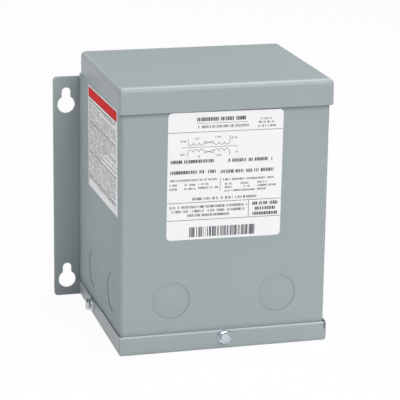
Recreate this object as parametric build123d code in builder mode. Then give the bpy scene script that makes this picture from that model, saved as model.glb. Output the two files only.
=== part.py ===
from build123d import *
import os

# Wall-mounted dry-type transformer in a folded sheet-steel box, in millimetres.
# The origin is on the underside, midway between the side walls and between the
# front wall and the mounting plate. The front faces -Y, the wall side is +Y, up is +Z.

# Body: one sheet folded round the front and both sides
body_width = 158.0
body_depth = 147.0
overall_height = 203.6
wall_sheet = 1.2
rear_bend = 1.5
rear_flange = 12.0

# Top cover and bottom cover: folded pans that lap over the body
cover_sheet = 0.9
cover_slip = 0.15
cover_play = 1.2
top_bend = 4.2
bottom_bend = 3.2
corner_ease = 0.1
top_skirt = 19.9
bottom_skirt = 15.4
top_cover_inset = 11.0
end_clearance = 0.1
seat_gap = 0.3

# The top cover's side skirts end higher than its front and rear ones
side_skirt_rise = 1.9

# The bottom cover's side skirts drop from this far behind the front wall,
# first by a step and then along a taper to the rear
skirt_step_setback = 62.4
skirt_step = 1.1
skirt_taper = 2.0

# Slit that leaves the bottom cover's right front corner open at the top
corner_slit = 0.8
corner_slit_depth = 5.6
corner_slit_inset = 1.6

# Mounting plate behind the body, with a wing at each side
plate_sheet = 2.0
wing_width = 21.0
plate_corner = 3.0
plate_top_gap = 2.8

# Keyholes in the wings: the screw head goes in at the round part
keyhole_entry_radius = 6.9
keyhole_slot_radius = 3.5
keyhole_rise = 10.2
keyhole_low_margin = 13.3
keyhole_high_margin = 22.6

# Conduit knockouts, three quarter inch trade size, pushed in a little
knockout_radius = 14.3
knockout_gap = 0.35
knockout_sink = 0.8
knockout_tab = 2.4
knockout_height = 41.1
front_knockout_inset = 38.2
side_knockout_setback = 30.4
side_knockout_spacing = 66.8
rear_knockout_drop = 3.0

# Hex washer-head screws that hold the bottom cover
screw_washer_radius = 5.4
screw_washer = 1.1
screw_hex_flats = 8.0
screw_hex_height = 3.4
screw_hex_edge = 0.5
screw_shank_radius = 2.1
screw_length = 9.0
screw_hole_gap = 0.15
front_screw_height = 10.0
side_screw_height = 8.6
side_screw_setback = 96.1

# Printed labels, stuck on a little askew
label_sheet = 0.25
front_label_width = 86.9
front_label_height = 95.8
front_label_inset = 34.7
front_label_drop = 0.7
front_label_corner = 3.0
front_label_tilt = -0.5
side_label_width = 101.7
side_label_height = 79.4
side_label_setback = 9.3
side_label_drop = 2.2
side_label_corner = 0.8
side_label_tilt = 1.4

# Core and coil, cast in resin, above the wiring compartment
compartment_height = 62.0
core_edge = 2.0

# Places that follow from the sizes above
body_left = -body_width / 2
body_right = body_width / 2
body_front = -body_depth / 2
body_rear = body_depth / 2
cover_lap = cover_slip + cover_sheet
top_corner = top_bend + corner_ease
bottom_corner = bottom_bend + corner_ease
front_bend = top_corner - cover_lap
cover_left = body_left - cover_lap
cover_right = body_right + cover_lap + cover_play
cover_front = body_front - cover_lap
cover_width = cover_right - cover_left
cover_centre_x = (cover_left + cover_right) / 2
top_cover_rear = body_rear - top_cover_inset
bottom_cover_rear = body_rear - seat_gap
top_skirt_z = overall_height - top_skirt
side_skirt_z = top_skirt_z + side_skirt_rise
rear_skirt_z = bottom_skirt - skirt_step - skirt_taper
cover_underside = overall_height - cover_sheet
body_bottom = bottom_bend + end_clearance
body_top = overall_height - top_bend - end_clearance
plate_height = top_skirt_z - plate_top_gap
plate_width = body_width + 2 * wing_width
skirt_step_y = body_front + skirt_step_setback
wall_end_top = top_cover_rear - top_corner - end_clearance
wall_end_bottom = bottom_cover_rear - bottom_corner - end_clearance

# Sketch planes on the faces, with the local x along the wall and the local y up
front_face = Plane(origin=(0, body_front, 0), x_dir=(1, 0, 0), z_dir=(0, -1, 0))
left_face = Plane(origin=(body_left, 0, 0), x_dir=(0, -1, 0), z_dir=(-1, 0, 0))
right_face = Plane(origin=(body_right, 0, 0), x_dir=(0, 1, 0), z_dir=(1, 0, 0))
rear_face = Plane(origin=(0, body_rear, 0), x_dir=(-1, 0, 0), z_dir=(0, 1, 0))

# Each knockout: its name, the face it is in, its place along that face and its height
side_knockout_front = body_front + side_knockout_setback
side_knockout_rear = side_knockout_front + side_knockout_spacing
rear_knockout_height = knockout_height - rear_knockout_drop
knockouts = [
    ("front_knockout_left", front_face, body_left + front_knockout_inset, knockout_height),
    ("front_knockout_right", front_face, body_right - front_knockout_inset, knockout_height),
    ("left_knockout_front", left_face, -side_knockout_front, knockout_height),
    ("left_knockout_rear", left_face, -side_knockout_rear, rear_knockout_height),
    ("right_knockout_front", right_face, side_knockout_front, knockout_height),
    ("right_knockout_rear", right_face, side_knockout_rear, rear_knockout_height),
]

# Each cover screw: its name, the wall it goes into, its place along that wall, its
# height and how far the bottom cover's skirt stands out from the wall there
side_screw_y = body_front + side_screw_setback
loose_lap = cover_lap + cover_play
screws = [
    ("front_cover_screw", front_face, cover_centre_x, front_screw_height, cover_lap),
    ("left_cover_screw", left_face, -side_screw_y, side_screw_height, cover_lap),
    ("right_cover_screw", right_face, side_screw_y, side_screw_height, loose_lap),
]


def cover_outline(rear, corner):
    """Rounded outline of a cover that reaches back to the given y."""
    depth = rear - cover_front
    with Locations((cover_centre_x, (rear + cover_front) / 2)):
        RectangleRounded(cover_width, depth, corner)


def save(part, name):
    """Label a finished piece and write its file."""
    part.label = name
    export_step(part, f"parts/{name}.step")


os.makedirs("parts", exist_ok=True)

# Top cover: a pan turned over, open below
with BuildPart() as top_cover:
    with BuildSketch(Plane.XY.offset(top_skirt_z)):
        cover_outline(top_cover_rear, top_corner)
    extrude(amount=top_skirt)
    fillet(top_cover.faces().sort_by(Axis.Z)[-1].edges(), top_bend)
    offset(amount=-cover_sheet, openings=top_cover.faces().sort_by(Axis.Z)[0])
    with BuildSketch(Plane.XY.offset(top_skirt_z)):
        with Locations((cover_centre_x, (cover_front + top_cover_rear) / 2)):
            Rectangle(2 * cover_width, top_cover_rear - cover_front - 2 * top_corner)
    extrude(amount=side_skirt_rise, mode=Mode.SUBTRACT)
save(top_cover.part, "top_cover")

# Bottom cover: a shallow pan that the body stands in
with BuildPart() as bottom_cover:
    with BuildSketch():
        cover_outline(bottom_cover_rear, bottom_corner)
    extrude(amount=bottom_skirt)
    fillet(bottom_cover.faces().sort_by(Axis.Z)[0].edges(), bottom_bend)
    offset(amount=-cover_sheet, openings=bottom_cover.faces().sort_by(Axis.Z)[-1])
    # The side skirts step down and then taper to the rear
    with BuildSketch(left_face):
        with BuildLine():
            Polyline(
                (-skirt_step_y, overall_height),
                (-skirt_step_y, bottom_skirt - skirt_step),
                (-bottom_cover_rear, rear_skirt_z),
                (-body_depth, rear_skirt_z),
                (-body_depth, overall_height),
                close=True,
            )
        make_face()
    extrude(amount=2 * cover_width, both=True, mode=Mode.SUBTRACT)
    # Open slit beside the right front corner
    with BuildSketch(Plane.XY.offset(bottom_skirt)):
        with Locations((cover_right - corner_slit_inset - corner_slit / 2, cover_front)):
            Rectangle(corner_slit, 2 * cover_lap)
    extrude(amount=-corner_slit_depth, mode=Mode.SUBTRACT)
    # Clearance holes for the screws
    for name, face, along, height, stand_off in screws:
        with BuildSketch(face):
            with Locations((along, height)):
                Circle(screw_shank_radius + screw_hole_gap)
        extrude(amount=2 * stand_off, mode=Mode.SUBTRACT)
save(bottom_cover.part, "bottom_cover")

# Body: front and side walls with a narrow flange folded in at each rear edge
with BuildPart() as body_wrapper:
    with BuildSketch(Plane.XY.offset(body_bottom)):
        Rectangle(body_width, body_depth)
    extrude(amount=body_top - body_bottom)
    upright = body_wrapper.edges().filter_by(Axis.Z).group_by(Axis.Y)
    fillet(upright[0], front_bend)
    upright = body_wrapper.edges().filter_by(Axis.Z).group_by(Axis.Y)
    fillet(upright[-1], rear_bend)
    ends = body_wrapper.faces().filter_by(Axis.Z)
    offset(amount=-wall_sheet, openings=ends)
    # The back is open between the flanges
    with BuildSketch(Plane.XY.offset(body_bottom)):
        with Locations((0, body_rear)):
            Rectangle(body_width - 2 * rear_flange, 4 * wall_sheet)
    extrude(amount=body_top - body_bottom, mode=Mode.SUBTRACT)
    # Notches for the covers' rear skirts and corners
    with BuildSketch(Plane.XY.offset(top_skirt_z - end_clearance)):
        with Locations((0, (wall_end_top + body_rear) / 2)):
            Rectangle(body_width, body_rear - wall_end_top)
    extrude(amount=top_skirt, mode=Mode.SUBTRACT)
    with BuildSketch(Plane.XY.offset(rear_skirt_z + seat_gap)):
        with Locations((0, (wall_end_bottom + body_rear) / 2)):
            Rectangle(body_width, body_rear - wall_end_bottom)
    extrude(amount=-bottom_skirt, mode=Mode.SUBTRACT)
    for name, face, along, height in knockouts:
        with BuildSketch(face):
            with Locations((along, height)):
                Circle(knockout_radius)
        extrude(amount=-2 * wall_sheet, mode=Mode.SUBTRACT)
    for name, face, along, height, stand_off in screws:
        with BuildSketch(face):
            with Locations((along, height)):
                Circle(screw_shank_radius + screw_hole_gap)
        extrude(amount=-2 * wall_sheet, mode=Mode.SUBTRACT)
save(body_wrapper.part, "body_wrapper")

# Mounting plate: flat, wider than the body, with four keyholes
with BuildPart() as mounting_plate:
    with BuildSketch(rear_face):
        with Locations((0, plate_height / 2)):
            RectangleRounded(plate_width, plate_height, plate_corner)
        keyhole_spacing_x = body_width + wing_width
        keyhole_spacing_z = plate_height - keyhole_high_margin - keyhole_low_margin
        keyhole_middle = keyhole_low_margin + keyhole_spacing_z / 2
        with Locations((0, keyhole_middle)):
            with GridLocations(keyhole_spacing_x, keyhole_spacing_z, 2, 2):
                Circle(keyhole_entry_radius, mode=Mode.SUBTRACT)
        with Locations((0, keyhole_middle + keyhole_rise / 2)):
            with GridLocations(keyhole_spacing_x, keyhole_spacing_z, 2, 2):
                SlotCenterToCenter(
                    keyhole_rise, 2 * keyhole_slot_radius, rotation=90, mode=Mode.SUBTRACT
                )
    extrude(amount=plate_sheet)
save(mounting_plate.part, "mounting_plate")

# Knockouts: discs still held in their holes by two small tabs
for name, face, along, height in knockouts:
    with BuildPart() as knockout:
        with BuildSketch(face.offset(-knockout_sink)):
            with Locations((along, height)):
                Rectangle(2 * knockout_radius, knockout_tab)
                Circle(knockout_radius, mode=Mode.INTERSECT)
                Circle(knockout_radius - knockout_gap)
        extrude(amount=-wall_sheet)
    save(knockout.part, name)

# Cover screws: hexagon on a round washer, with the shank through skirt and wall
for name, face, along, height, stand_off in screws:
    with BuildPart() as screw:
        with BuildSketch(face.offset(stand_off)):
            with Locations((along, height)):
                Circle(screw_washer_radius)
        extrude(amount=screw_washer)
        with BuildSketch(face.offset(stand_off + screw_washer)):
            with Locations((along, height)):
                RegularPolygon(screw_hex_flats / 2, 6, major_radius=False)
        extrude(amount=screw_hex_height)
        head_end = screw.faces().sort_by(Axis(face.origin, face.z_dir))[-1]
        chamfer(head_end.edges(), screw_hex_edge)
        with BuildSketch(face.offset(stand_off)):
            with Locations((along, height)):
                Circle(screw_shank_radius)
        extrude(amount=-screw_length)
    save(screw.part, name)

# Front label, just under the top cover's skirt
front_label_x = body_left + front_label_inset + front_label_width / 2
front_label_z = top_skirt_z - front_label_drop - front_label_height / 2
with BuildPart() as front_label:
    with BuildSketch(front_face):
        with Locations((front_label_x, front_label_z)):
            RectangleRounded(
                front_label_width, front_label_height, front_label_corner, front_label_tilt
            )
    extrude(amount=label_sheet)
save(front_label.part, "front_label")

# Side label on the left wall
side_label_y = body_front + side_label_setback + side_label_width / 2
side_label_z = side_skirt_z - side_label_drop - side_label_height / 2
with BuildPart() as side_label:
    with BuildSketch(left_face):
        with Locations((-side_label_y, side_label_z)):
            RectangleRounded(
                side_label_width, side_label_height, side_label_corner, side_label_tilt
            )
    extrude(amount=label_sheet)
save(side_label.part, "side_label")

# Core and coil in their resin block, filling the body above the compartment
with BuildPart() as core_block:
    core_front = body_front + wall_sheet
    core_rear = wall_end_top
    with BuildSketch(Plane.XY.offset(compartment_height)):
        with Locations((0, (core_front + core_rear) / 2)):
            Rectangle(body_width - 2 * wall_sheet, core_rear - core_front)
    extrude(amount=cover_underside - compartment_height)
    upright = core_block.edges().filter_by(Axis.Z).group_by(Axis.Y)
    fillet(upright[0], front_bend)
    chamfer(core_block.faces().sort_by(Axis.Z)[-1].edges(), core_edge)
save(core_block.part, "core_block")
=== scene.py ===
import math
import random

import bmesh
import bpy
from mathutils import Matrix, Vector


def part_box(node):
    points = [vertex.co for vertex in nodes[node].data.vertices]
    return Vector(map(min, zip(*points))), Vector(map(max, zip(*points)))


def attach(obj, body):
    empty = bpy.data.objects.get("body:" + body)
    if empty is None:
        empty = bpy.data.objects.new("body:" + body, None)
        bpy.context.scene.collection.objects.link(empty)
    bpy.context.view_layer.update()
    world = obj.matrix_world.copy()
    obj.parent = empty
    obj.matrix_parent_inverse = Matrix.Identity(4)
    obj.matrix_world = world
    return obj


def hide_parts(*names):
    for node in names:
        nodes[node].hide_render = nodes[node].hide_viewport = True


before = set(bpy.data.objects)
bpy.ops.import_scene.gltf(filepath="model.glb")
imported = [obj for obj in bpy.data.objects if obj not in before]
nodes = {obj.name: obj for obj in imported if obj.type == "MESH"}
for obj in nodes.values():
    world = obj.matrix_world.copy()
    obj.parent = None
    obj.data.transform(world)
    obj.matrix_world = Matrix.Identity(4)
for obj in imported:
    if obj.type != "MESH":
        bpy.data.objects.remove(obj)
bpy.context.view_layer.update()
mm = 0.001
print("frame:", len(nodes), "nodes")


class Wire:
    # one socket of a node tree: sums and products of wires add Math nodes
    def __init__(self, tree, socket=None):
        self.tree = tree
        self.socket = socket

    def add(self, kind, settings=None, inputs=None, out=0):
        node = self.tree.nodes.new(kind)
        for name, value in (settings or {}).items():
            setattr(node, name, value)
        for name, value in (inputs or {}).items():
            if isinstance(value, Wire):
                self.tree.links.new(value.socket, node.inputs[name])
            else:
                node.inputs[name].default_value = value
        return Wire(self.tree, node.outputs[out] if len(node.outputs) else None)

    def other(self, name):
        return Wire(self.tree, self.socket.node.outputs[name])

    def calc(self, operation, *values):
        return self.add("ShaderNodeMath", {"operation": operation}, dict(enumerate(values)))

    def within(self):
        # held between 0 and 1
        return self.calc("MINIMUM", self.calc("MAXIMUM", self, 0.0), 1.0)

    def tint(self, first, second):
        # this wire is the share of the second colour
        return self.add("ShaderNodeMix", {"data_type": "RGBA"}, {0: self, 6: first, 7: second}, out=2)

    def __add__(self, other):
        return self.calc("ADD", self, other)

    def __sub__(self, other):
        return self.calc("SUBTRACT", self, other)

    def __rsub__(self, other):
        return self.calc("SUBTRACT", other, self)

    def __mul__(self, other):
        return self.calc("MULTIPLY", self, other)

    def __truediv__(self, other):
        return self.calc("DIVIDE", self, other)

    __radd__ = __add__
    __rmul__ = __mul__


def srgb(red, green, blue):
    # screen values 0 to 255 as a linear colour
    parts = [value / 255 for value in (red, green, blue)]
    return tuple(v / 12.92 if v < 0.04045 else ((v + 0.055) / 1.055) ** 2.4 for v in parts) + (1.0,)


def scaled(tone, factor):
    return tuple(part * factor for part in tone[:3]) + (1.0,)


def blank(name):
    material = bpy.data.materials.new(name)
    material.use_nodes = True
    material.node_tree.nodes.clear()
    return Wire(material.node_tree)


def noise(place, scale, detail):
    return place.add("ShaderNodeTexNoise", {}, {"Vector": place, "Scale": scale, "Detail": detail})


def finish(name, look, tone, rough, bump, fixed=None):
    sockets = {"Base Color": tone, "Roughness": rough, "Normal": bump, **(fixed or {})}
    shader = tone.add("ShaderNodeBsdfPrincipled", {}, sockets)
    tone.add("ShaderNodeOutputMaterial", {}, {"Surface": shader})
    material = bpy.data.materials[name]
    material.diffuse_color = look["tone"]
    return material


# powder coat: a slow drift of colour, fine flecks and orange peel, with bands of painted shade and painted
# highlight where a look lists them
paint = {
    "tone": srgb(165, 175, 177),
    "drift": 0.035,  # how far the colour wanders either way
    "driftScale": 9.0,
    "peelScale": 620.0,
    "peelDepth": 0.012 * mm,
    "peelStrength": 0.6,
    "rough": 0.38,
    "gloss": 1.34,
    "roughDrift": 0.08,
    "peelRough": 0.06,
    "fleckScale": 2600.0,
    "paintedBands": [],  # bands of painted shade and painted highlight: height, fade (negative is downwards), share, how light or dark, and where it ends
}
paintedBandFade = 2.0 * mm


def powderCoat(name, look):
    place = blank(name).add("ShaderNodeTexCoord", out="Object")
    cloud = noise(place, look["driftScale"], 4.0)
    peel = noise(place, look["peelScale"], 1.0)
    fleck = noise(place, look["fleckScale"], 0.0)
    dark = scaled(look["tone"], 1 - look["drift"])
    light = scaled(look["tone"], 1 + look["drift"])
    tone = (cloud * 0.75 + fleck * 0.25).tint(dark, light)
    height = place.add("ShaderNodeSeparateXYZ", {}, {"Vector": place}, out=2)
    # each band darkens the colour with painted shade, or lightens it with a painted highlight, near its
    # height and up to its rear end
    for level, reach, most, factor, back in look["paintedBands"]:
        near = (1 - ((height - level) / reach).within()) * most
        near = near * ((back - height.other("Y")) / paintedBandFade).within()
        tone = (near * (cloud * 0.4 + 0.8)).tint(tone, scaled(look["tone"], factor))
    rough = (cloud - 0.5) * look["roughDrift"] + (peel - 0.5) * look["peelRough"] + look["rough"]
    bump = place.add(
        "ShaderNodeBump",
        {},
        {"Strength": look["peelStrength"], "Distance": look["peelDepth"], "Height": peel * 0.8 + fleck * 0.2},
    )
    return finish(name, look, tone, rough, bump, {"IOR": look["gloss"]})


enclosurePaint = powderCoat("enclosurePaint", paint)
platePaint = powderCoat("platePaint", {**paint, "driftScale": 7.0, "rough": 0.48})
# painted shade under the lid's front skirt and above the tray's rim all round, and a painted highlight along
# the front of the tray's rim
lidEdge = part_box("top_cover")[0].z
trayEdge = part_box("bottom_cover")[1].z
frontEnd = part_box("body_wrapper")[0].y + 4.0 * mm
everywhere = 1.0
paintedSeamShade = [
    # painted shadow on the body just under the lid's front skirt
    (lidEdge, -3.2 * mm, 0.58, 0.12, frontEnd),
    # painted shade on the body just above the tray's rim, all round
    (trayEdge, 4.0 * mm, 0.3, 0.3, everywhere),
]
# painted highlight along the top of the tray's front rim
paintedRimHighlight = [(trayEdge, -1.5 * mm, 0.9, 1.75, frontEnd)]
bodyPaint = powderCoat("bodyPaint", {**paint, "rough": 0.62, "gloss": 1.2, "paintedBands": paintedSeamShade})
trayPaint = powderCoat("trayPaint", {**paint, "paintedBands": paintedRimHighlight})

zinc = {
    "tone": srgb(206, 212, 219),
    "cloudScale": 900.0,
    "cloudDepth": 0.02 * mm,
    "scuffScale": 3200.0,
    "rough": 0.2,
    "scuffRough": 0.18,
    "metal": 0.95,
}


def zincPlating(name, look):
    place = blank(name).add("ShaderNodeTexCoord", out="Object")
    cloud = noise(place, look["cloudScale"], 3.0)
    scuff = noise(place, look["scuffScale"], 2.0)
    tone = cloud.tint(scaled(look["tone"], 0.88), look["tone"])
    rough = (scuff - 0.5) * look["scuffRough"] + look["rough"]
    bump = place.add("ShaderNodeBump", {}, {"Strength": 0.5, "Distance": look["cloudDepth"], "Height": cloud})
    return finish(name, look, tone, rough, bump, {"Metallic": look["metal"]})


zincScrews = zincPlating("zincScrews", zinc)

film = {
    "tone": srgb(251, 251, 253),
    "rippleScale": 60.0,
    "rippleDepth": 0.06 * mm,
    "fibreScale": 1500.0,
    "rough": 0.46,
    "fibreRough": 0.12,
    "gloss": 1.46,
}


def labelFilm(name, look):
    place = blank(name).add("ShaderNodeTexCoord", out="Object")
    ripple = noise(place, look["rippleScale"], 2.0)
    fibre = noise(place, look["fibreScale"], 2.0)
    tone = fibre.tint(scaled(look["tone"], 0.965), look["tone"])
    rough = (fibre - 0.5) * look["fibreRough"] + look["rough"]
    bump = place.add(
        "ShaderNodeBump",
        {},
        {"Strength": 0.5, "Distance": look["rippleDepth"], "Height": ripple * 0.9 + fibre * 0.1},
    )
    return finish(name, look, tone, rough, bump, {"IOR": look["gloss"]})


ink = {**film, "rough": 0.55, "gloss": 1.3}
frontFilm = labelFilm("frontFilm", film)
sideFilm = labelFilm("sideFilm", {**film, "tone": srgb(248, 248, 251)})
blackInk = labelFilm("blackInk", {**ink, "tone": srgb(48, 48, 52)})
greyInk = labelFilm("greyInk", {**ink, "tone": srgb(74, 75, 80)})
bandInk = labelFilm("bandInk", {**film, "tone": srgb(232, 6, 14), "rough": 0.6, "gloss": 1.2})
bandEdgeInk = labelFilm("bandEdgeInk", {**film, "tone": srgb(70, 30, 34), "rough": 0.5})

resin = {
    "tone": srgb(46, 40, 37),
    "sandScale": 420.0,
    "sandDepth": 0.3 * mm,
    "pitScale": 160.0,
    "rough": 0.55,
    "sandRough": 0.3,
}


def castResin(name, look):
    place = blank(name).add("ShaderNodeTexCoord", out="Object")
    sand = noise(place, look["sandScale"], 5.0)
    pits = place.add("ShaderNodeTexVoronoi", {}, {"Vector": place, "Scale": look["pitScale"]})
    tone = sand.tint(scaled(look["tone"], 0.7), scaled(look["tone"], 1.4))
    rough = (sand - 0.5) * look["sandRough"] + look["rough"]
    bump = place.add(
        "ShaderNodeBump",
        {},
        {"Strength": 0.8, "Distance": look["sandDepth"], "Height": sand * 0.6 + pits * 0.4},
    )
    return finish(name, look, tone, rough, bump)


castBlock = castResin("castBlock", resin)
print("finishes made")

# mesh helpers
cornerSteps = 8
blockFaces = [(3, 2, 1, 0), (4, 5, 6, 7), (0, 1, 5, 4), (1, 2, 6, 5), (2, 3, 7, 6), (3, 0, 4, 7)]


def addObject(name, data):
    thing = bpy.data.objects.new(name, data)
    bpy.context.scene.collection.objects.link(thing)
    return thing


def cleanMesh(mesh, angle=30):
    work = bmesh.new()
    work.from_mesh(mesh)
    bmesh.ops.remove_doubles(work, verts=work.verts, dist=0.001 * mm)
    bmesh.ops.dissolve_degenerate(work, edges=work.edges, dist=0.001 * mm)
    bmesh.ops.recalc_face_normals(work, faces=work.faces)
    work.to_mesh(mesh)
    work.free()
    mesh.shade_smooth()
    mesh.set_sharp_from_angle(angle=math.radians(angle))


def newPiece(name, points, faces, material, angle=30):
    mesh = bpy.data.meshes.new(name)
    mesh.from_pydata(points, [], faces)
    cleanMesh(mesh, angle)
    mesh.materials.append(material)
    return addObject(name, mesh)


def settle(piece, name):
    # the evaluated shape as a plain mesh, with no modifier left
    graph = bpy.context.evaluated_depsgraph_get()
    mesh = bpy.data.meshes.new_from_object(piece.evaluated_get(graph), depsgraph=graph)
    bpy.data.objects.remove(piece)
    mesh.name = name
    return addObject(name, mesh)


def tidyShading(piece, bevel=0.0):
    if bevel:
        soften = piece.modifiers.new("soften", "BEVEL")
        soften.width = bevel
        soften.segments = 4
        soften.limit_method = "ANGLE"
        soften.angle_limit = math.radians(50)
        soften.harden_normals = True
        soften.use_clamp_overlap = False
    flatten = piece.modifiers.new("flatten", "WEIGHTED_NORMAL")
    flatten.keep_sharp = True
    return settle(piece, piece.name)


def arcPoints(x, y, radius, first, last, steps):
    # points along an arc from one angle to another, both ends included
    turns = [math.radians(first + (last - first) * step / steps) for step in range(steps + 1)]
    return [(x + radius * math.cos(turn), y + radius * math.sin(turn)) for turn in turns]


def joinRings(rings):
    # points and faces of a tube through rings of equal length, with a cap at each end
    count = len(rings[0])
    points = [point for ring in rings for point in ring]
    faces = []
    for lower in range(0, len(points) - count, count):
        upper = lower + count
        for spot in range(count):
            after = (spot + 1) % count
            faces.append((lower + spot, lower + after, upper + after, upper + spot))
    faces.append(tuple(range(count - 1, -1, -1)))
    faces.append(tuple(range(len(points) - count, len(points))))
    return points, faces


# covers: folded pans, built as rings from the outside of the pan round its rim to the inside
lid = {
    "sheet": 0.9,
    "bend": 4.2,
    "corner": 1.9,
    "sideRise": 1.9,
    "riseStart": 0.2,  # from the front face
    "riseExtra": 0.6,  # how far the rise runs past the corner
    "sideStop": 8.0,
    "tabWidth": 4.9,  # the side skirts turn round the front corners in these tabs
    "tabProud": 0.24,
    "tabTop": 5.0,  # below the top
    "tabLead": 0.12,
    "tabTrail": 0.15,
    "tabSoft": 0.14,
    "bendSteps": 10,
}
tray = {
    "sheet": 0.9,
    "bend": 3.2,
    "corner": 2.0,
    "step": 1.1,
    "stepFromFront": 63.45,
    "stepSoft": 0.35,
    "taper": 2.0,
    "slitLeft": 2.4,  # from the right side
    "slitRight": 1.6,
    "slitDepth": 5.6,
    "slitReach": 1.2,
    "slitSoft": 0.04,
    "bendSteps": 8,
}
rimSteps = 6
tiny = 0.01


def panOutline(box, inset, corner, frontStops, sideStops, proud):
    # anticlockwise from above, in millimetres; proud lifts the tabs off the front skirt
    left, right = box[0].x / mm + inset, box[1].x / mm - inset
    front, rear = box[0].y / mm + inset, box[1].y / mm - inset
    radius = max(corner - inset, tiny)
    line = arcPoints(left + radius, front + radius, radius, 180, 270, cornerSteps)
    line += [(x, front if lifted else front + proud) for x, lifted in frontStops]
    line += arcPoints(right - radius, front + radius, radius, 270, 360, cornerSteps)
    line += [(right, y) for y in sideStops]
    line += arcPoints(right - radius, rear - radius, radius, 0, 90, cornerSteps)
    line += arcPoints(left + radius, rear - radius, radius, 90, 180, cornerSteps)
    return line + [(left, y) for y in reversed(sideStops)]


def panRings(box, size, outline, rimHeight, upward):
    # size of the pan, the rim's height at a point, and which way the pan opens
    sheet = size["sheet"]
    proud = size.get("tabProud", 0.0)
    way = 1 if upward else -1
    base = (box[0].z if upward else box[1].z) / mm
    rings = []

    def ring(inset, depth, lift=0.0):
        rings.append([(x * mm, y * mm, (base + way * depth) * mm) for x, y in outline(inset, lift)])

    def rimRing(inset, drop):
        line = outline(inset, proud)
        rings.append([(x * mm, y * mm, (rimHeight(x, y) - way * drop) * mm) for x, y in line])

    def bendRings(inset, radius, steps):
        for step in steps:
            turn = math.radians(90 * step / size["bendSteps"])
            ring(inset + radius * (1 - math.cos(turn)), inset + radius * (1 - math.sin(turn)))

    bendRings(0.0, size["bend"], range(size["bendSteps"], -1, -1))
    if proud:
        ring(0, size["tabTop"] - size["tabLead"])
        ring(0, size["tabTop"], proud * 0.6)
        ring(0, size["tabTop"] + size["tabTrail"], proud)
    half = sheet / 2
    for step in range(rimSteps + 1):
        turn = math.radians(180 * step / rimSteps)
        rimRing(half * (1 - math.cos(turn)), half * (1 - math.sin(turn)))
    if proud:
        ring(sheet, size["tabTop"] + size["tabTrail"], proud)
        ring(sheet, size["tabTop"] - size["tabLead"])
    bendRings(sheet, size["bend"] - sheet, range(size["bendSteps"] + 1))
    return rings


def makeLid():
    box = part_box("top_cover")
    left, right = box[0].x / mm, box[1].x / mm
    front, rear, low = box[0].y / mm, box[1].y / mm, box[0].z / mm
    edge, soft, corner = lid["tabWidth"], lid["tabSoft"], lid["corner"]
    stops = [(left + edge - soft, True), (left + edge + soft, False)]
    stops += [(right - edge - soft, False), (right - edge + soft, True)]
    flat = [(x, True) for x, lifted in stops]
    sideStops = [front + lid["sideStop"], rear - lid["sideStop"]]
    pushed = (box[0] + Vector((0, lid["tabProud"] * mm, 0)), box[1])

    def outline(inset, proud):
        if proud:
            return panOutline(box, inset, corner, stops, sideStops, proud)
        return panOutline(pushed, inset, corner, flat, sideStops, 0.0)

    def rim(x, y):
        # the side skirts end higher, and the rise falls within the corner bends
        along = min(y - front, rear - y) - lid["riseStart"]
        share = min(max(along / (corner + lid["riseExtra"]), 0.0), 1.0)
        return low + lid["sideRise"] * share * share * (3 - 2 * share)

    points, faces = joinRings(panRings(box, lid, outline, rim, False))
    return tidyShading(newPiece("lidShell", points, faces, enclosurePaint, angle=40))


def makeTray():
    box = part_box("bottom_cover")
    right = box[1].x / mm
    front, rear, high = box[0].y / mm, box[1].y / mm, box[1].z / mm
    stepY = front + tray["stepFromFront"]
    slitLeft, slitRight = right - tray["slitLeft"], right - tray["slitRight"]
    soft = tray["slitSoft"]
    stops = [(x + shift, True) for x in (slitLeft, slitRight) for shift in (-soft, soft)]
    sideStops = [stepY - tray["stepSoft"], stepY + tray["stepSoft"]]
    corner = min(tray["corner"], tray["slitRight"] - 2 * soft)

    def outline(inset, proud):
        return panOutline(box, inset, corner, stops, sideStops, proud)

    def rim(x, y):
        if y < front + tray["slitReach"] and slitLeft < x < slitRight:
            return high - tray["slitDepth"]
        if y < stepY:
            return high
        return high - tray["step"] - tray["taper"] * (y - stepY) / (rear - stepY)

    points, faces = joinRings(panRings(box, tray, outline, rim, True))
    return tidyShading(newPiece("trayShell", points, faces, trayPaint, angle=40))


lidShell = makeLid()
trayShell = makeTray()
print("covers made")

# body: one bent sheet with its holes cut, and a soft paint edge on every rim
body = {
    "sheet": 1.2,
    "frontBend": 3.25,
    "bendSteps": 12,
    "rearBend": 1.5,
    "rearInner": 0.3,  # least radius inside a rear bend
    "rearSteps": 5,
    "rearFlange": 12.0,
    "holeRadius": 14.3,
    "holeSides": 96,
    "screwHole": 2.25,
    "screwSides": 24,
    "cutReach": 6.0,
    "lidNotch": 4.4,  # ahead of the lid's rear face
    "lidNotchDrop": 0.1,
    "trayNotch": 3.4,
    "trayNotchTop": 12.6,
    "notchReach": 90.0,
    "notchLow": -5.0,
    "notchHigh": 210.0,
    "paintEdge": 0.55,
}
faceOf = {"front": (0, -1, 0), "left": (-1, 0, 0), "right": (1, 0, 0)}
knockoutNodes = [name for name in sorted(nodes) if "knockout" in name]
screwNodes = [name for name in sorted(nodes) if name.endswith("cover_screw")]


def wallOf(node):
    return Vector(faceOf[node.split("_")[0]])


def middle(node):
    low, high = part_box(node)
    return (low + high) / 2


def bentPath(half, front, rear, inset):
    # plan line of the sheet from the left rear flange round the front to the right one
    small = max(body["rearBend"] - inset, body["rearInner"])
    large = body["frontBend"] - inset
    side, face, back = half - inset, front + inset, rear - inset
    flange = half - body["rearFlange"]
    line = [(-flange, back)]
    line += arcPoints(small - side, back - small, small, 90, 180, body["rearSteps"])
    line += arcPoints(large - side, face + large, large, 180, 270, body["bendSteps"])
    line += arcPoints(side - large, face + large, large, 270, 360, body["bendSteps"])
    line += arcPoints(side - small, back - small, small, 0, 90, body["rearSteps"])
    return line + [(flange, back)]


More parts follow.
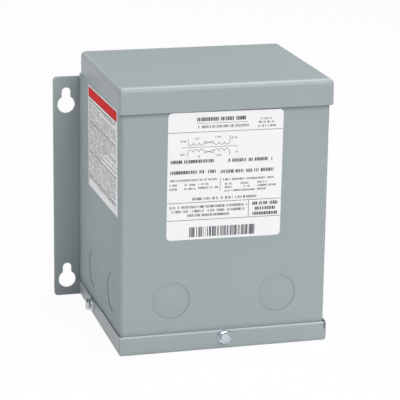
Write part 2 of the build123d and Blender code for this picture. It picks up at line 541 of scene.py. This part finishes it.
def drum(centre, wall, radius, count):
    # points and faces of a cutter that stands across a wall
    turn = wall.to_track_quat("Z", "Y").to_matrix()
    points = []
    for side in (-body["cutReach"], body["cutReach"]):
        for step in range(count):
            angle = 2 * math.pi * step / count
            spot = turn @ Vector((radius * math.cos(angle), radius * math.sin(angle), side))
            points.append((centre + spot) * mm)
    faces = [(i, (i + 1) % count, count + (i + 1) % count, count + i) for i in range(count)]
    faces += [tuple(range(count - 1, -1, -1)), tuple(range(count, 2 * count))]
    return points, faces


def bodyCutters(half, front):
    # holes for the knockouts and screws, and notches that clear the covers' rear skirts
    cutters = []
    holes = [(name, body["holeRadius"], body["holeSides"]) for name in knockoutNodes]
    holes += [(name, body["screwHole"], body["screwSides"]) for name in screwNodes]
    for name, radius, sides in holes:
        spot = middle(name) / mm
        wall = wallOf(name)
        spot.x = half * wall.x if wall.x else spot.x
        spot.y = front if wall.y else spot.y
        cutters.append(drum(spot, wall, radius, sides))
    lidLow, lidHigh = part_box("top_cover")
    lidBack = lidHigh.y / mm - body["lidNotch"]
    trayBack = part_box("bottom_cover")[1].y / mm - body["trayNotch"]
    wide = body["notchReach"]
    notches = [
        (lidLow.z / mm - body["lidNotchDrop"], body["notchHigh"], lidBack),
        (body["notchLow"], body["trayNotchTop"], trayBack),
    ]
    for bottom, top, back in notches:
        plan = ((-wide, back), (wide, back), (wide, wide), (-wide, wide))
        cutters.append(([Vector((x, y, z)) * mm for z in (bottom, top) for x, y in plan], blockFaces))
    points, faces = [], []
    for some, sides in cutters:
        faces += [tuple(index + len(points) for index in side) for side in sides]
        points += some
    return points, faces


def makeBody():
    low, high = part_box("body_wrapper")
    half, front, rear = high.x / mm, low.y / mm, high.y / mm
    outer = bentPath(half, front, rear, 0.0)
    inner = bentPath(half, front, rear, body["sheet"])
    rings = [[(x * mm, y * mm, z) for x, y in outer + inner[::-1]] for z in (low.z, high.z)]
    points, faces = joinRings(rings)
    faces = faces[:-2]
    count = len(outer)
    for base in (0, 2 * count):
        far = base + 2 * count - 1
        for spot in range(count - 1):
            faces.append((base + spot, base + spot + 1, far - spot - 1, far - spot))
    piece = newPiece("bodyShell", points, faces, bodyPaint)
    cutter = newPiece("cutter", *bodyCutters(half, front), bodyPaint)
    cut = piece.modifiers.new("cut", "BOOLEAN")
    cut.object = cutter
    cut.operation = "DIFFERENCE"
    cut.solver = "EXACT"
    piece = settle(piece, "bodyShell")
    bpy.data.objects.remove(cutter)
    piece.data.set_sharp_from_angle(angle=math.radians(30))
    return tidyShading(piece, body["paintEdge"] * mm)


bodyShell = makeBody()
print("body made")

# flat plates cut from an outline: the wall plate and the two label films
plate = {
    "corner": 3.0,
    "edge": 0.45,
    "entryRadius": 6.9,
    "entrySteps": 48,
    "slotRadius": 3.5,
    "slotSteps": 16,
    "rise": 10.2,
    "lowMargin": 13.3,
    "highMargin": 22.6,
    "spanX": 179.0,
}


def roundedLoop(width, height, corner):
    loop = []
    for index, (sx, sy) in enumerate(((1, 1), (-1, 1), (-1, -1), (1, -1))):
        x = sx * (width / 2 - corner)
        y = sy * (height / 2 - corner)
        loop += arcPoints(x, y, corner, 90 * index, 90 * index + 90, cornerSteps)
    return loop


def flatPlate(name, loops, thick, edge, matrix, material):
    # the first loop is the outline and the others are holes, in millimetres round the middle
    curve = bpy.data.curves.new(name, "CURVE")
    curve.dimensions = "2D"
    curve.fill_mode = "BOTH"
    curve.extrude = (thick / 2 - edge) * mm
    curve.bevel_depth = edge * mm
    curve.bevel_resolution = 2
    curve.offset = -edge * mm
    for loop in loops:
        line = curve.splines.new("POLY")
        line.points.add(len(loop) - 1)
        for point, (x, y) in zip(line.points, loop):
            point.co = (x * mm, y * mm, 0, 1)
        line.use_cyclic_u = True
    piece = settle(addObject(name, curve), name)
    piece.data.transform(matrix)
    cleanMesh(piece.data, 40)
    piece.data.materials.clear()
    piece.data.materials.append(material)
    return tidyShading(piece)


def keyhole(x, z):
    # round entry with a narrower slot above it
    entry, slot = plate["entryRadius"], plate["slotRadius"]
    meet = math.degrees(math.acos(slot / entry))
    loop = arcPoints(x, z, entry, meet, -180 - meet, plate["entrySteps"])
    return loop + arcPoints(x, z + plate["rise"], slot, 180, 0, plate["slotSteps"])


def makePlate():
    low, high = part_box("mounting_plate")
    width, height, thick = [(high - low)[axis] / mm for axis in (0, 2, 1)]
    loops = [roundedLoop(width, height, plate["corner"])]
    for x in (-plate["spanX"] / 2, plate["spanX"] / 2):
        for z in (plate["lowMargin"] - height / 2, height / 2 - plate["highMargin"]):
            loops.append(keyhole(x, z))
    matrix = Matrix.Translation(middle("mounting_plate")) @ Matrix.Rotation(math.radians(90), 4, "X")
    return flatPlate("wallPlate", loops, thick, plate["edge"], matrix, platePaint)


wallPlate = makePlate()

frontLabel = {
    "node": "front_label",
    "wall": "front",
    "width": 86.9,
    "height": 95.8,
    "corner": 3.0,
    "tilt": -0.5,
    "thick": 0.25,
    "edge": 0.06,
}
sideLabel = {
    "node": "side_label",
    "wall": "left",
    "width": 101.7,
    "height": 79.4,
    "corner": 0.8,
    "tilt": 1.4,
    "thick": 0.25,
    "edge": 0.06,
}


def labelMatrix(size):
    # x runs along the wall and y up, from the middle of the film
    out = Vector(faceOf[size["wall"]])
    up = Vector((0, 0, 1))
    turn = Matrix((up.cross(out), up, out)).transposed().to_4x4()
    tilt = Matrix.Rotation(math.radians(size["tilt"]), 4, "Z")
    return Matrix.Translation(middle(size["node"])) @ turn @ tilt


def makeFilm(name, size, matrix, material):
    loop = roundedLoop(size["width"], size["height"], size["corner"])
    return flatPlate(name, [loop], size["thick"], size["edge"], matrix, material)


frontMatrix = labelMatrix(frontLabel)
sideMatrix = labelMatrix(sideLabel)
frontSheet = makeFilm("frontSheet", frontLabel, frontMatrix, frontFilm)
sideSheet = makeFilm("sideSheet", sideLabel, sideMatrix, sideFilm)
print("plates made")


# geometry node trees for what repeats
def newTree(name, sizes):
    tree = bpy.data.node_groups.new(name, "GeometryNodeTree")
    tree.interface.new_socket("Geometry", in_out="INPUT", socket_type="NodeSocketGeometry")
    for label, value in sizes.items():
        kind = "NodeSocketInt" if isinstance(value, int) else "NodeSocketFloat"
        tree.interface.new_socket(label, in_out="INPUT", socket_type=kind).default_value = value
    tree.interface.new_socket("Geometry", in_out="OUTPUT", socket_type="NodeSocketGeometry")
    return tree, Wire(tree).add("NodeGroupInput")


def grow(name, points, edges, tree, values, marks, angle=35):
    # runs a tree on seed points; marks are named values or directions at those points
    mesh = bpy.data.meshes.new(name + "Seeds")
    mesh.from_pydata(points, edges, [])
    for label, items in marks.items():
        isFlow = isinstance(items[0], tuple)
        layer = mesh.attributes.new(label, "FLOAT_VECTOR" if isFlow else "FLOAT", "POINT")
        for entry, item in zip(layer.data, items):
            if isFlow:
                entry.vector = item
            else:
                entry.value = item
    seeds = addObject(name + "Seeds", mesh)
    growth = seeds.modifiers.new("growth", "NODES")
    growth.node_group = tree
    for item in tree.interface.items_tree:
        if item.in_out == "INPUT" and item.name in values:
            growth[item.identifier] = values[item.name]
    piece = settle(seeds, name)
    cleanMesh(piece.data, angle)
    return piece


def close(start, shape, material):
    solid = start.add("GeometryNodeRealizeInstances", {}, {"Geometry": shape})
    dressed = start.add("GeometryNodeSetMaterial", {}, {"Geometry": solid, "Material": material})
    start.add("NodeGroupOutput", {}, {"Geometry": dressed})


def together(start, *parts):
    both = start.add("GeometryNodeJoinGeometry")
    for part in parts:
        start.tree.links.new(part.socket, both.socket.node.inputs[0])
    return both


def stack(start, sides, radius, levels):
    # a stud built up from a disc in steps of rise and scale, closed underneath
    disc = start.add("GeometryNodeMeshCircle", {"fill_type": "NGON"}, {"Vertices": sides, "Radius": radius})
    shape = disc
    chosen = True
    for rise, scale in levels:
        pulled = start.add(
            "GeometryNodeExtrudeMesh",
            {"mode": "FACES"},
            {"Mesh": shape, "Selection": chosen, "Offset Scale": rise, "Individual": False},
        )
        chosen = pulled.other("Top")
        shape = start.add(
            "GeometryNodeScaleElements", {}, {"Geometry": pulled, "Selection": chosen, "Scale": scale}
        )
    under = start.add("GeometryNodeFlipFaces", {}, {"Mesh": disc})
    both = together(start, shape, under)
    return start.add("GeometryNodeMergeByDistance", {}, {"Geometry": both, "Distance": 0.001 * mm})


def storedValue(start, name, kind):
    return start.add("GeometryNodeInputNamedAttribute", {"data_type": kind}, {"Name": name})


def facingTurn(start, spin=None):
    # local z along the stored direction, local y upwards
    turn = start.add(
        "FunctionNodeAxesToRotation",
        {"primary_axis": "Z", "secondary_axis": "Y"},
        {"Primary Axis": storedValue(start, "facing", "FLOAT_VECTOR"), "Secondary Axis": (0, 0, 1)},
    )
    if spin is None:
        return turn
    twist = start.add("ShaderNodeCombineXYZ", {}, {"Z": spin})
    return start.add(
        "FunctionNodeRotateRotation", {"rotation_space": "LOCAL"}, {"Rotation": turn, "Rotate By": twist}
    )


def spread(start, points, shape, **more):
    return start.add("GeometryNodeInstanceOnPoints", {}, {"Points": points, "Instance": shape, **more})


# cover screws: a hexagon with a dished top on a round washer
screw = {
    "Washer Radius": 5.4 * mm,
    "Washer Height": 1.1 * mm,
    "Hex Radius": 4.62 * mm,
    "Hex Height": 3.4 * mm,
    "Turn Seed": 4,
}
screwSink = 0.96  # share of the washer's height below the hexagon
# each level's share of the height, and its scale
washerLevels = [(0.45, 1.0), (0.3, 0.975), (0.25, 0.93), (0.0, 0.5)]
hexLevels = [(0.12, 1.0), (0.66, 1.0), (0.14, 0.97), (0.08, 0.9), (0.0, 0.84), (-0.1, 0.94)]
washerSides = 40
discSides = 96


def makeScrews():
    tree, start = newTree("screwHeads", screw)
    washerHeight = start.other("Washer Height")
    hexHeight = start.other("Hex Height")
    washerRises = [(washerHeight * share if share else 0.0, scale) for share, scale in washerLevels]
    hexRises = [(hexHeight * share if share else 0.0, scale) for share, scale in hexLevels]
    washer = stack(start, washerSides, start.other("Washer Radius"), washerRises)
    hexagon = stack(start, 6, start.other("Hex Radius"), hexRises)
    seat = start.add("ShaderNodeCombineXYZ", {}, {"Z": washerHeight * screwSink})
    lifted = start.add("GeometryNodeTransform", {}, {"Geometry": hexagon, "Translation": seat})
    spin = start.add(
        "FunctionNodeRandomValue",
        {"data_type": "FLOAT"},
        {2: -0.5, 3: 0.5, "Seed": start.other("Turn Seed")},
        out=1,
    )
    head = together(start, washer, lifted)
    close(start, spread(start, start, head, Rotation=facingTurn(start, spin)), zincScrews)
    seats, facings = [], []
    for name in screwNodes:
        wall = wallOf(name)
        reach = middle(name)
        for axis in range(3):
            if wall[axis]:
                reach[axis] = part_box(name)[1 if wall[axis] > 0 else 0][axis]
        seats.append(reach - wall * (screw["Washer Height"] * screwSink + screw["Hex Height"]))
        facings.append(tuple(wall))
    return grow("coverScrews", seats, [], tree, screw, {"facing": facings}, 30)


coverScrews = makeScrews()

# knockouts: a disc left in each hole, with a paint-soft rim and two tabs
knockout = {
    "Disc Radius": 14.27 * mm,
    "Sheet": 1.2 * mm,
    "Rim": 0.1 * mm,
    "Tab Width": 2.4 * mm,
    "Tab Reach": 0.4 * mm,
    "Forward": 0.15 * mm,
}


def makeKnockouts():
    tree, start = newTree("knockoutDiscs", knockout)
    radius = start.other("Disc Radius")
    sheet = start.other("Sheet")
    rim = start.other("Rim")
    levels = [
        (sheet - rim, 1.0),
        (rim * 0.6, 1 - rim * 0.3 / radius),
        (rim * 0.4, 1 - rim * 0.8 / radius),
    ]
    parts = [stack(start, discSides, radius, levels)]
    tabSize = {"X": start.other("Tab Reach"), "Y": start.other("Tab Width"), "Z": sheet}
    box = start.add("ShaderNodeCombineXYZ", {}, tabSize)
    tab = start.add("GeometryNodeMeshCube", {}, {"Size": box})
    for side in (-1, 1):
        spot = start.add("ShaderNodeCombineXYZ", {}, {"X": radius * side * 1.004, "Z": sheet * 0.5})
        parts.append(start.add("GeometryNodeTransform", {}, {"Geometry": tab, "Translation": spot}))
    disc = together(start, *parts)
    close(start, spread(start, start, disc, Rotation=facingTurn(start)), bodyPaint)
    seats, facings = [], []
    for name in knockoutNodes:
        wall = wallOf(name)
        seats.append(middle(name) - wall * (knockout["Sheet"] / 2 - knockout["Forward"]))
        facings.append(tuple(wall))
    return grow("knockoutDiscs", seats, [], tree, knockout, {"facing": facings}, 30)


knockoutDiscs = makeKnockouts()
print("screws and knockouts made")

# print on the labels: plain marks along lines
marking = {
    "Pitch": 1.25 * mm,
    "Gap Chance": 0.15,
    "Fill Low": 0.55,
    "Fill High": 0.85,
    "Ink": 0.03 * mm,
    "Seed": 11,
}
markLift = 0.145  # from the middle of the film
ruleLift = 0.118
ruleThick = 0.03


def makeMarks(name, lines, values, material, matrix):
    # lines are (x from, x to, y, height) in label millimetres
    tree, start = newTree(name + "Marks", marking)
    pitch = start.other("Pitch")
    seed = start.other("Seed")
    path = start.add("GeometryNodeMeshToCurve", {}, {"Mesh": start})
    spots = start.add("GeometryNodeCurveToPoints", {"mode": "LENGTH"}, {"Curve": path, "Length": pitch})
    gap = start.add(
        "FunctionNodeRandomValue",
        {"data_type": "BOOLEAN"},
        {"Probability": start.other("Gap Chance"), "Seed": seed},
        out=3,
    )
    kept = start.add("GeometryNodeDeleteGeometry", {"domain": "POINT"}, {"Geometry": spots, "Selection": gap})
    fill = start.add(
        "FunctionNodeRandomValue",
        {"data_type": "FLOAT"},
        {2: start.other("Fill Low"), 3: start.other("Fill High"), "Seed": seed + 5},
        out=1,
    )
    tall = storedValue(start, "tall", "FLOAT")
    size = start.add("ShaderNodeCombineXYZ", {}, {"X": pitch * fill, "Y": tall, "Z": start.other("Ink")})
    cube = start.add("GeometryNodeMeshCube", {}, {"Size": (1, 1, 1)})
    close(start, spread(start, kept, cube, Scale=size), material)
    points, edges, heights = [], [], []
    for first, last, y, height in lines:
        edges.append((len(points), len(points) + 1))
        points += [(first * mm, y * mm, 0), (last * mm, y * mm, 0)]
        heights += [height * mm, height * mm]
    piece = grow(name, points, edges, tree, {**marking, **values}, {"tall": heights})
    piece.data.transform(matrix @ Matrix.Translation((0, 0, markLift * mm)))
    return piece


def makeRules(name, bars, material, matrix):
    # bars are (x, y, width, height) in label millimetres, and a lean in degrees where one slopes
    points, faces = [], []
    for x, y, width, height, *lean in bars:
        faces += [tuple(len(points) + index for index in side) for side in blockFaces]
        turn = Matrix.Rotation(math.radians(lean[0] if lean else 0.0), 4, "Z")
        for z in (ruleLift, ruleLift + ruleThick):
            for sx, sy in ((-1, -1), (1, -1), (1, 1), (-1, 1)):
                corner = turn @ Vector((sx * width / 2, sy * height / 2, z))
                points.append((corner + Vector((x, y, 0))) * mm)
    piece = newPiece(name, points, faces, material)
    piece.data.transform(matrix)
    return piece


boldPrint = {"Pitch": 1.25 * mm, "Gap Chance": 0.13, "Fill Low": 0.45, "Fill High": 0.85, "Seed": 3}
boldLines = [
    (-40.8, -9.4, 11.4, 2.5),
    (2.9, 35.4, 11.0, 2.5),
    (-40.8, -7.4, 3.4, 2.5),
    (-3.0, 36.6, 2.8, 2.5),
    (22.0, 40.4, -22.6, 2.4),
    (24.0, 38.6, -26.5, 2.4),
    (22.0, 40.2, -30.4, 2.4),
    (-21.5, 16.6, 42.6, 2.8),
]
finePrint = {"Pitch": 0.85 * mm, "Gap Chance": 0.2, "Fill Low": 0.35, "Fill High": 0.8, "Seed": 8}
fineLines = [
    (-33.6, -30.4, 26.6, 1.3),
    (-22.8, -19.4, 28.4, 1.3),
    (-7.8, -4.4, 29.2, 1.3),
    (4.8, 8.4, 28.2, 1.3),
    (-33.6, -30.4, 16.8, 1.3),
    (-21.8, -18.6, 15.0, 1.3),
    (-7.0, -3.8, 15.4, 1.3),
    (5.6, 8.8, 17.4, 1.3),
    (-21.5, 16.6, 37.0, 2.0),
    (26.6, 34.0, 41.4, 1.4),
    (24.8, 35.8, 38.9, 1.4),
    (22.8, 37.2, 36.0, 1.4),
    (-41.3, -6.2, -2.6, 1.5),
    (-41.3, -36.6, -6.0, 1.5),
    (-30.2, -22.7, -6.1, 1.5),
    (-19.6, -12.6, -5.9, 1.5),
    (-41.3, -36.6, -9.0, 1.5),
    (-30.2, -22.7, -9.1, 1.5),
    (-19.6, -5.4, -8.7, 1.5),
    (-1.2, 37.6, -3.2, 1.5),
    (0.4, 5.2, -6.6, 1.4),
    (11.4, 18.6, -6.6, 1.4),
    (25.2, 31.6, -6.4, 1.4),
    (0.4, 5.2, -9.1, 1.4),
    (11.4, 18.6, -9.1, 1.4),
    (25.2, 38.8, -8.9, 1.4),
    (0.4, 10.2, -11.8, 1.4),
    (11.4, 22.6, -11.8, 1.4),
    (25.2, 31.4, -11.6, 1.4),
    (-24.0, 24.0, -17.0, 1.9),
    (-41.6, 17.0, -23.0, 1.9),
    (-39.6, 15.2, -26.2, 1.9),
    (-28.0, 3.6, -29.4, 1.9),
]
barPrint = {"Pitch": 0.75 * mm, "Gap Chance": 0.2, "Fill Low": 0.3, "Fill High": 1.0, "Seed": 21}
barLines = [(-25.8, 24.0, -42.2, 7.6)]
frontDivides = [
    (0.0, 33.2, 86.6, 0.34),
    (-2.5, 39.6, 38.0, 0.24),
    (0.0, -19.6, 86.6, 0.36),
    (0.0, -32.9, 86.6, 0.36),
    (18.6, -26.2, 0.36, 13.2),
    (-3.5, -6.7, 0.34, 10.2),
]
frontBold = makeMarks("frontBold", boldLines, boldPrint, blackInk, frontMatrix)
frontFine = makeMarks("frontFine", fineLines, finePrint, greyInk, frontMatrix)
frontBars = makeMarks("frontBars", barLines, barPrint, greyInk, frontMatrix)
frontRules = makeRules("frontRules", frontDivides, blackInk, frontMatrix)

# the winding diagram: rows of scallops either side of a core line
winding = {
    "Turn Radius": 2.05 * mm,
    "Line Width": 0.3 * mm,
}
windingLift = 0.14
turnSpots = [-26.4, -22.3, -18.2, -7.2, -3.1, 1.0]
turnRows = [(25.5, math.pi), (18.2, 0.0)]  # height on the label, and which way the turns point
windingLines = [
    (-12.0, 21.9, 42.4, 0.3),
    (-28.4, 26.9, 0.35, 2.8),
    (3.1, 27.7, 0.35, 4.4),
    (-28.4, 16.6, 0.35, 3.4),
    (3.1, 16.9, 0.35, 2.8),
    (-12.7, 25.3, 7.6, 0.35, -14.0),
    (-12.7, 25.3, 7.6, 0.35, 14.0),
    (-12.7, 18.3, 7.6, 0.35, -14.0),
    (-12.7, 18.3, 7.6, 0.35, 14.0),
]


def makeWinding():
    tree, start = newTree("windingTurns", winding)
    arc = start.add(
        "GeometryNodeCurveArc",
        {"mode": "RADIUS"},
        {"Resolution": 12, "Radius": start.other("Turn Radius"), "Start Angle": 0.0, "Sweep Angle": math.pi},
    )
    width = start.other("Line Width")
    profile = start.add(
        "GeometryNodeCurvePrimitiveQuadrilateral", {}, {"Width": width, "Height": width * 0.25}
    )
    turn = start.add(
        "GeometryNodeCurveToMesh", {}, {"Curve": arc, "Profile Curve": profile, "Fill Caps": True}
    )
    spin = start.add("ShaderNodeCombineXYZ", {}, {"Z": storedValue(start, "flip", "FLOAT")})
    close(start, spread(start, start, turn, Rotation=spin), greyInk)
    points = [(x * mm, y * mm, 0) for x in turnSpots for y, flip in turnRows]
    flips = [flip for x in turnSpots for y, flip in turnRows]
    piece = grow("windingTurns", points, [], tree, winding, {"flip": flips})
    piece.data.transform(frontMatrix @ Matrix.Translation((0, 0, windingLift * mm)))
    return piece


windingTurns = makeWinding()
windingRules = makeRules("windingRules", windingLines, greyInk, frontMatrix)

# side label: a plain coloured band over close print
bandEdges = [(0.0, 38.3, 98.2, 0.4), (0.0, 30.9, 98.2, 0.4), (-48.9, 34.6, 0.4, 7.4), (48.9, 34.6, 0.4, 7.4)]
sideBand = makeRules("sideBand", [(0.0, 34.6, 97.6, 7.0)], bandInk, sideMatrix)
sideBandEdges = makeRules("sideBandEdges", bandEdges, bandEdgeInk, sideMatrix)

sideRows = {
    "top": 28.6,
    "pitch": 1.82,
    "height": 0.95,
    "reach": 48.2,
    "ragged": 3.0,
    "seed": 5,
    # lines, front end of the last one, heavy first line
    "blocks": [
        (2, 40, True),
        (1, -8, False),
        (4, 44, False),
        (2, 30, False),
        (2, 46, True),
        (4, 28, False),
        (3, 8, False),
        (2, 2, False),
        (2, -4, False),
        (2, 44, True),
        (5, 40, False),
        (4, 30, False),
        (2, 46, True),
    ],
}


def sideLines():
    pick = random.Random(sideRows["seed"])
    fine, heavy = [], []
    y = sideRows["top"]
    reach = sideRows["reach"]
    for count, end, heading in sideRows["blocks"]:
        for index in range(count):
            last = end if index == count - 1 else reach - pick.uniform(0.0, sideRows["ragged"])
            chosen = heavy if heading and index == 0 else fine
            chosen.append((-reach, last, y, sideRows["height"]))
            y -= sideRows["pitch"]
    return fine, heavy


fineSide, heavySide = sideLines()
closePrint = {"Pitch": 0.8 * mm, "Gap Chance": 0.3, "Fill Low": 0.35, "Fill High": 0.75, "Seed": 31}
heavyPrint = {"Pitch": 1.2 * mm, "Gap Chance": 0.08, "Fill Low": 0.75, "Seed": 37}
sideFine = makeMarks("sideFine", fineSide, closePrint, greyInk, sideMatrix)
sideHeavy = makeMarks("sideHeavy", heavySide, heavyPrint, blackInk, sideMatrix)
print("labels made")

# which node each piece stands for, and its slot
standsFor = [
    (lidShell, "enclosure_paint", ["top_cover"]),
    (trayShell, "enclosure_paint", ["bottom_cover"]),
    (bodyShell, "enclosure_paint", ["body_wrapper"]),
    (wallPlate, "plate_paint", ["mounting_plate"]),
    (knockoutDiscs, "enclosure_paint", knockoutNodes),
    (coverScrews, "zinc_screws", screwNodes),
    (frontSheet, "front_label_film", ["front_label"]),
    (sideSheet, "side_label_film", ["side_label"]),
]
for piece in (frontBold, frontFine, frontBars, frontRules, windingTurns, windingRules):
    standsFor.append((piece, "front_label_film", []))
for piece in (sideBand, sideBandEdges, sideFine, sideHeavy):
    standsFor.append((piece, "side_label_film", []))
for piece, slot, stood in standsFor:
    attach(piece, "root")
    if stood:
        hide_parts(*stood)
for slot in nodes["core_block"].material_slots:
    slot.material = castBlock
print("pieces placed:", len(standsFor))

# camera, floor and studio light
view = {
    "place": (-0.36399, -1.32795, 0.49509),
    "azimuth": 15.2383,
    "elevation": 15.5235,
    "roll": 0.7756,
    "lens": 166.976,
    "sensor": 36.0,
    "shift": (0.008572, -0.054444),
    "clip": 0.05,
}


def makeCamera():
    camera = addObject("camera", bpy.data.cameras.new("camera"))
    turn, rise, roll = [math.radians(view[key]) for key in ("azimuth", "elevation", "roll")]
    ahead = Vector((math.sin(turn) * math.cos(rise), math.cos(turn) * math.cos(rise), -math.sin(rise)))
    level = ahead.cross(Vector((0, 0, 1))).normalized()
    upward = level.cross(ahead)
    right = level * math.cos(roll) + upward * math.sin(roll)
    above = upward * math.cos(roll) - level * math.sin(roll)
    axes = Matrix((right, above, -ahead)).transposed().to_4x4()
    camera.matrix_world = Matrix.Translation(view["place"]) @ axes
    camera.data.lens = view["lens"]
    camera.data.sensor_width = view["sensor"]
    camera.data.shift_x, camera.data.shift_y = view["shift"]
    camera.data.clip_start = view["clip"]
    bpy.context.scene.camera = camera


makeCamera()

lamps = {
    "frontKey": {"place": (0.3, -2.0, 1.2), "size": (0.9, 0.9), "watts": 23.0},
    "rightFill": {"place": (1.25, -1.75, 1.15), "size": (0.9, 0.9), "watts": 3.0},
    "leftFill": {"place": (-0.9, -1.9, 0.9), "size": (0.9, 0.9), "watts": 1.6},
    "sideFill": {"place": (-1.9, -0.2, 0.7), "size": (0.9, 0.9), "watts": 0.5},
    "overhead": {"place": (0.35, -0.05, 1.5), "size": (0.5, 0.4), "watts": 15.0},
    "nearSide": {"place": (-0.32, 0.05, 0.09), "size": (0.12, 0.12), "watts": 0.12},
    "backRim": {"place": (-0.45, 1.5, 0.55), "size": (0.9, 0.9), "watts": 2.8},
    "wingLight": {"place": (-0.6, 0.32, 0.35), "size": (0.3, 0.3), "watts": 0.4},
}
lampTarget = Vector((0, 0, 0.1))


def makeLamps():
    for name, lamp in lamps.items():
        light = bpy.data.lights.new(name, "AREA")
        light.shape = "RECTANGLE"
        light.size, light.size_y = lamp["size"]
        light.energy = lamp["watts"]
        holder = addObject(name, light)
        holder.location = lamp["place"]
        aim = lampTarget - Vector(lamp["place"])
        holder.rotation_euler = aim.to_track_quat("-Z", "Y").to_euler()


makeLamps()

room = {
    "floorTone": 0.85,
    "floorSpeck": 0.01,
    "speckScale": 30.0,
    "floorGlow": 0.96,  # share of plain white that the camera sees over the lit floor
    "floorReach": 6.0,
    "floorDrop": 0.3 * mm,
    "skyLight": 0.12,
}


def makeSky():
    world = bpy.data.worlds.new("studio")
    bpy.context.scene.world = world
    world.use_nodes = True
    world.node_tree.nodes.clear()
    start = Wire(world.node_tree)
    glow = start.add("ShaderNodeBackground", {}, {"Color": (1, 1, 1, 1), "Strength": room["skyLight"]})
    start.add("ShaderNodeOutputWorld", {}, {"Surface": glow})


def makeFloor():
    place = blank("paleFloor").add("ShaderNodeTexCoord", out="Object")
    speck = noise(place, room["speckScale"], 3.0)
    dark = scaled((1, 1, 1), room["floorTone"] - room["floorSpeck"])
    light = scaled((1, 1, 1), room["floorTone"] + room["floorSpeck"])
    matt = place.add("ShaderNodeBsdfDiffuse", {}, {"Color": speck.tint(dark, light)})
    white = place.add("ShaderNodeEmission", {}, {"Color": (1, 1, 1, 1), "Strength": 1.0})
    ray = place.add("ShaderNodeLightPath", out="Is Camera Ray")
    seen = ray.calc("MAXIMUM", ray, ray.other("Is Glossy Ray"))
    seen = seen.calc("MAXIMUM", seen, ray.other("Is Transmission Ray"))
    both = place.add("ShaderNodeMixShader", {}, {0: seen * room["floorGlow"], 1: matt, 2: white})
    place.add("ShaderNodeOutputMaterial", {}, {"Surface": both})
    reach, drop = room["floorReach"], -room["floorDrop"]
    corners = [(-reach, -reach, drop), (reach, -reach, drop), (reach, reach, drop), (-reach, reach, drop)]
    mesh = bpy.data.meshes.new("floor")
    mesh.from_pydata(corners, [], [(0, 1, 2, 3)])
    mesh.materials.append(bpy.data.materials["paleFloor"])
    addObject("floor", mesh)


makeSky()
makeFloor()
bpy.context.scene.view_settings.view_transform = "Standard"
print("studio set")
